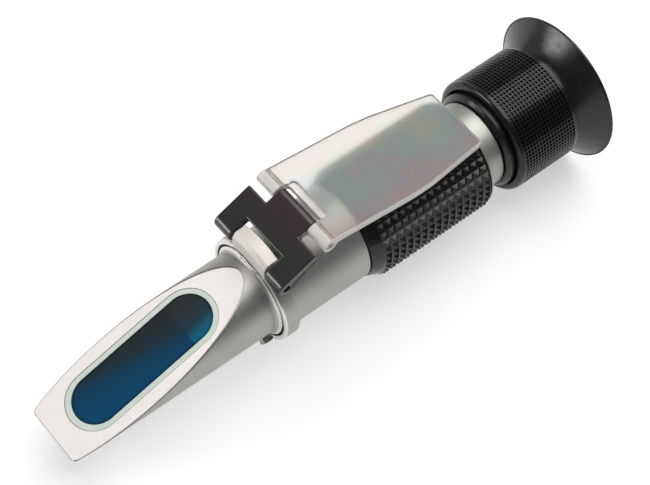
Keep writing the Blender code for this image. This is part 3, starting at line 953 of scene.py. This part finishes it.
def make_eye_lens(skins):
    """The pieces seen through the eyecup."""

    def lens(name, node, front, rear, radius, bulge_front, bulge_rear):
        def side(middle, bulge, sign, count=8):
            curve = (radius ** 2 + bulge ** 2) / (2 * bulge)
            points = []
            for k in range(count + 1):
                r = radius * k / count
                points.append((
                    middle + sign * (bulge - curve + math.sqrt(curve ** 2 - r ** 2)), r
                ))
            return points

        outline = side(rear, bulge_rear, 1) + side(front, bulge_front, -1)[::-1]
        item = turned(name, outline, closed=False, steps=LENS_STEPS)
        show(item, "carrier", [skins["lens"]], [node])

    lens("front_lens", "field_lens", 30.9, 33.1, 7.9, 0.7, 0.8)
    lens("rear_lens", "eye_lens", 38.9, 41.0, 8.7, 0.8, 0.6)
    holder = turned("lens_tube", rounded([
        (43.6, 9.0), (43.6, 10.3, 0.15), (38.4, 10.3), (38.4, 9.6), (37.0, 9.6), (37.0, 10.3),
        (34.8, 10.3, 0.15), (34.8, 9.3), (28.6, 9.3, 0.15), (28.6, 7.2), (29.8, 7.2), (29.8, 8.2),
        (36.0, 8.2), (36.0, 9.0),
    ]), steps=LENS_STEPS)
    carve(holder, rod("hole", (GUIDE_X, 0, 8), (GUIDE_X, 0, 12), GUIDE_R + 0.2))
    show(holder, "carrier", [skins["black"]], ["lens_carrier"])
    clamp = turned("lens_clamp", rounded([
        (43.4, 7.4, 0.15), (43.4, 8.7, 0.15), (42.0, 8.7), (42.0, 7.4, 0.15),
    ]), steps=LENS_STEPS)
    show(clamp, "carrier", [skins["black"]], ["lens_ring"])


def make_screw(skins):
    screw = rod("adjusting_screw", radial(8.35), radial(SCREW_TOP_R - 1.9), 1.0)
    head = rod("head", radial(SCREW_TOP_R - 1.95), radial(SCREW_TOP_R), SCREW_HEAD_R, 48, edge=0.2)
    carve(screw, head, how="UNION")
    slot = box("slot", (-3.0, -0.3, -0.8), (3.0, 0.3, 0.8))
    slot.data.transform(
        Matrix.Translation(Vector(radial(SCREW_TOP_R)) * MM)
        @ Matrix.Rotation(SCREW_ANGLE - math.pi / 2, 4, "X")
    )
    carve(screw, slot)
    show(screw, "calibration", [skins["steel"]], ["calibration_screw"])


def make_link(skins):
    length = math.dist(LUG_PIN, PLATE_PIN)
    turn = math.atan2(PLATE_PIN[1] - LUG_PIN[1], PLATE_PIN[0] - LUG_PIN[0]) - LINK_TILT
    tab_pin = (length * math.cos(turn), length * math.sin(turn))
    tab_r = LINK_R - tab_pin[1]
    side = arc((0.0, 0.0), LINK_R, 90, 270, 18)
    side += [(1.2, -LINK_R), (2.2, LINK_R - LINK_T), (tab_pin[0] - 3.0, LINK_R - LINK_T)]
    side += [(tab_pin[0] - 2.0, tab_pin[1] - tab_r)] + arc(tab_pin, tab_r, -90, 90, 14)
    frame = tilted(LUG_PIN, LINK_TILT)
    link = extruded("cover_link", side, -LINK_HALF_W, LINK_HALF_W, frame)
    half = [
        (BAR_FRONT, FORK_HALF_GAP), (-4.0, FORK_HALF_GAP), (-4.0, LINK_HALF_W),
        (BAR_REAR, LINK_HALF_W), (BAR_REAR, TAB_HALF_W), (20.0, TAB_HALF_W),
    ]
    carve(link, extruded("plan", mirrored(half), -8.0, 8.0, frame @ PLAN_TURN), how="INTERSECT")
    pins = (LUG_PIN, PLATE_PIN)
    for pin in pins:
        carve(link, cross_rod("hole", pin, PIN_TOOL_HALF_L, PIN_HOLE_R))

    def off_holes(p):
        return all(math.dist((p.x, p.z), pin) > PIN_HOLE_R + 0.1 for pin in pins)

    edges = sharper_than(50, lambda edge: both_ends(edge, off_holes))
    soften(link, 0.42, edges, segments=3, clamp=False)
    show(link, "link", [skins["link"]], ["hinge_link"])


def make_plate(skins):
    frame = tilted(PLATE_PIN, PLATE_TILT)
    side = [(0.0, PLATE_T)] + arc((0.0, 0.0), KNUCKLE_R, 100, 350, 24)
    side += [(KNUCKLE_R + 0.2, 0.0), (PLATE_L, 0.0), (PLATE_L, PLATE_T)]
    plate = extruded("cover", side, -PLATE_HALF_W, PLATE_HALF_W, frame)

    def plan(inset):
        return mirrored([
            (SLOT_DEPTH, KNUCKLE_HALF_GAP - 0.8), (SLOT_DEPTH - 0.8, KNUCKLE_HALF_GAP),
            (-5.0, KNUCKLE_HALF_GAP), (-5.0, PLATE_HALF_W - inset),
            (PLATE_BEND - 3.0, PLATE_HALF_W - inset),
            (PLATE_BEND + 3.0, PLATE_HALF_W - 0.4 - inset),
            (PLATE_L - 0.6 - inset, PLATE_END_HALF_W - inset),
            (PLATE_L - inset, PLATE_END_HALF_W - 0.6 - inset),
        ])

    chamfer = 0.3
    levels = [(-8.0, 0.0), (PLATE_T - chamfer, 0.0), (PLATE_T, chamfer), (8.0, chamfer)]
    outlines = [(plan(inset), height) for height, inset in levels]
    carve(plate, stacked("plan", outlines, frame), how="INTERSECT")
    soften(plate, 0.18, sharper_than(38))
    recess = [(b + 3.15, a) for a, b in stadium(-6.4, 6.4, 1.25, 10)]
    floor_z = PLATE_T - RECESS_DEPTH
    carve(plate, extruded("recess", recess, floor_z, PLATE_T + 1.0, frame @ PLAN_TURN))
    carve(plate, cross_rod("hole", PLATE_PIN, PIN_TOOL_HALF_L, PIN_HOLE_R))
    names = ["clear", "frosted_and_lit", "dim"]
    finishes = [skins[name] for name in names]
    show(plate, "cover", finishes, ["cover_plate"], sharp=25.0)
    back = frame.inverted()
    for face in plate.data.polygons:
        middle = back @ face.center / MM
        outward = back.to_3x3() @ face.normal
        # Painted shade on the far side's edge faces; the near edges, the knuckle and the recess
        # floor get the whitened copy, partly painted light
        if outward.y > 0.2 and middle.y > 8.0:
            face.material_index = names.index("dim")
        elif abs(outward.z) < 0.97 or middle.x < KNUCKLE_R or abs(middle.z - floor_z) < 0.02:
            face.material_index = names.index("frosted_and_lit")
    pin = cross_rod(
        "cover_hinge_pin", PLATE_PIN, PLATE_HALF_W - PIN_INSET, PIN_R, edge=PIN_CHAMFER
    )
    show(pin, "cover", [skins["steel"]], ["plate_pin"])


def finish_inner_nodes(nodes, skins):
    """The hidden CAD solids keep their shapes and get the same materials."""
    inner = {
        "black": [
            "thermal_mount", "light_stop", "reticle_holder", "reticle_ring", "objective_ring",
            "lens_spacer",
        ],
        "brass": ["bimetal_strip", "objective_cell"],
        "lens": ["objective_lens", "reticle"],
        "grip": ["focus_o_ring"],
        "steel": ["guide_pin"],
    }
    for skin, names in inner.items():
        for name in names:
            for slot in nodes[name].material_slots:
                slot.material = skins[skin]


# ---------------------------------------------------------------- studio

def make_studio(skins, low):
    """A pale floor whose top is just under a height in metres, and soft light."""
    outline = [(0.0, 0.0), (0.0, FLOOR_R), (-2.0, FLOOR_R), (-2.0, 0.0)]
    floor = turned("floor", outline, closed=False, steps=64)
    lift = Matrix.Translation((0.0, 0.0, low - FLOOR_GAP * MM))
    floor.data.transform(lift @ Matrix.Rotation(-math.pi / 2, 4, "Y"))
    floor.data.materials.append(skins["floor"])

    def panel(name, place, size, power, color=(1.0, 1.0, 1.0)):
        """An area light that faces the origin, with its place and size in metres."""
        light = bpy.data.lights.new(name, "AREA")
        light.shape = "RECTANGLE"
        light.size, light.size_y = size
        light.energy = power
        light.color = color
        item = bpy.data.objects.new(name, light)
        item.location = place
        item.rotation_euler = (-Vector(place)).to_track_quat("-Z", "Y").to_euler()
        item.visible_camera = False
        bpy.context.scene.collection.objects.link(item)

    panel("overhead_panel", (0.30, 0.02, 0.9), (0.95, 1.3), 12.0, (1.0, 0.985, 0.965))
    panel("fill_panel", (0.2, 1.7, 0.75), (2.6, 1.2), 5.0)
    panel("edge_panel", (-0.95, 0.61, 0.39), (0.5, 0.5), 5.8)

    world = bpy.data.worlds.new("studio")
    world.use_nodes = True
    background = world.node_tree.nodes["Background"]
    background.inputs["Color"].default_value = (0.93, 0.97, 1.0, 1.0)
    background.inputs["Strength"].default_value = 0.13
    bpy.context.scene.world = world
    bpy.context.scene.view_settings.view_transform = "Standard"


def make_camera():
    """A camera at the photo's angle, with its place in metres."""
    data = bpy.data.cameras.new("camera")
    data.sensor_width = 36.0
    data.lens = 100.82
    data.clip_start = 0.01
    data.clip_end = 20.0
    camera = bpy.data.objects.new("camera", data)
    right = Vector((0.7781, -0.6277, 0.0253)).normalized()
    back = Vector((-0.3572, -0.4088, 0.8398)).normalized()
    up = back.cross(right).normalized()
    right = up.cross(back)
    turn = Matrix((right, up, back)).transposed().to_4x4()
    camera.matrix_world = Matrix.Translation((-0.18335, -0.18363, 0.37644)) @ turn
    bpy.context.scene.collection.objects.link(camera)
    bpy.context.scene.camera = camera


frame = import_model()
cad_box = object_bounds()
skins = make_skins()
make_nose(skins)
make_prism(skins)
make_collar(skins)
make_barrel(skins)
make_eyepiece(skins)
make_eye_lens(skins)
make_screw(skins)
make_link(skins)
make_plate(skins)
finish_inner_nodes(frame["nodes"], skins)
make_studio(skins, cad_box[0].z)
make_camera()
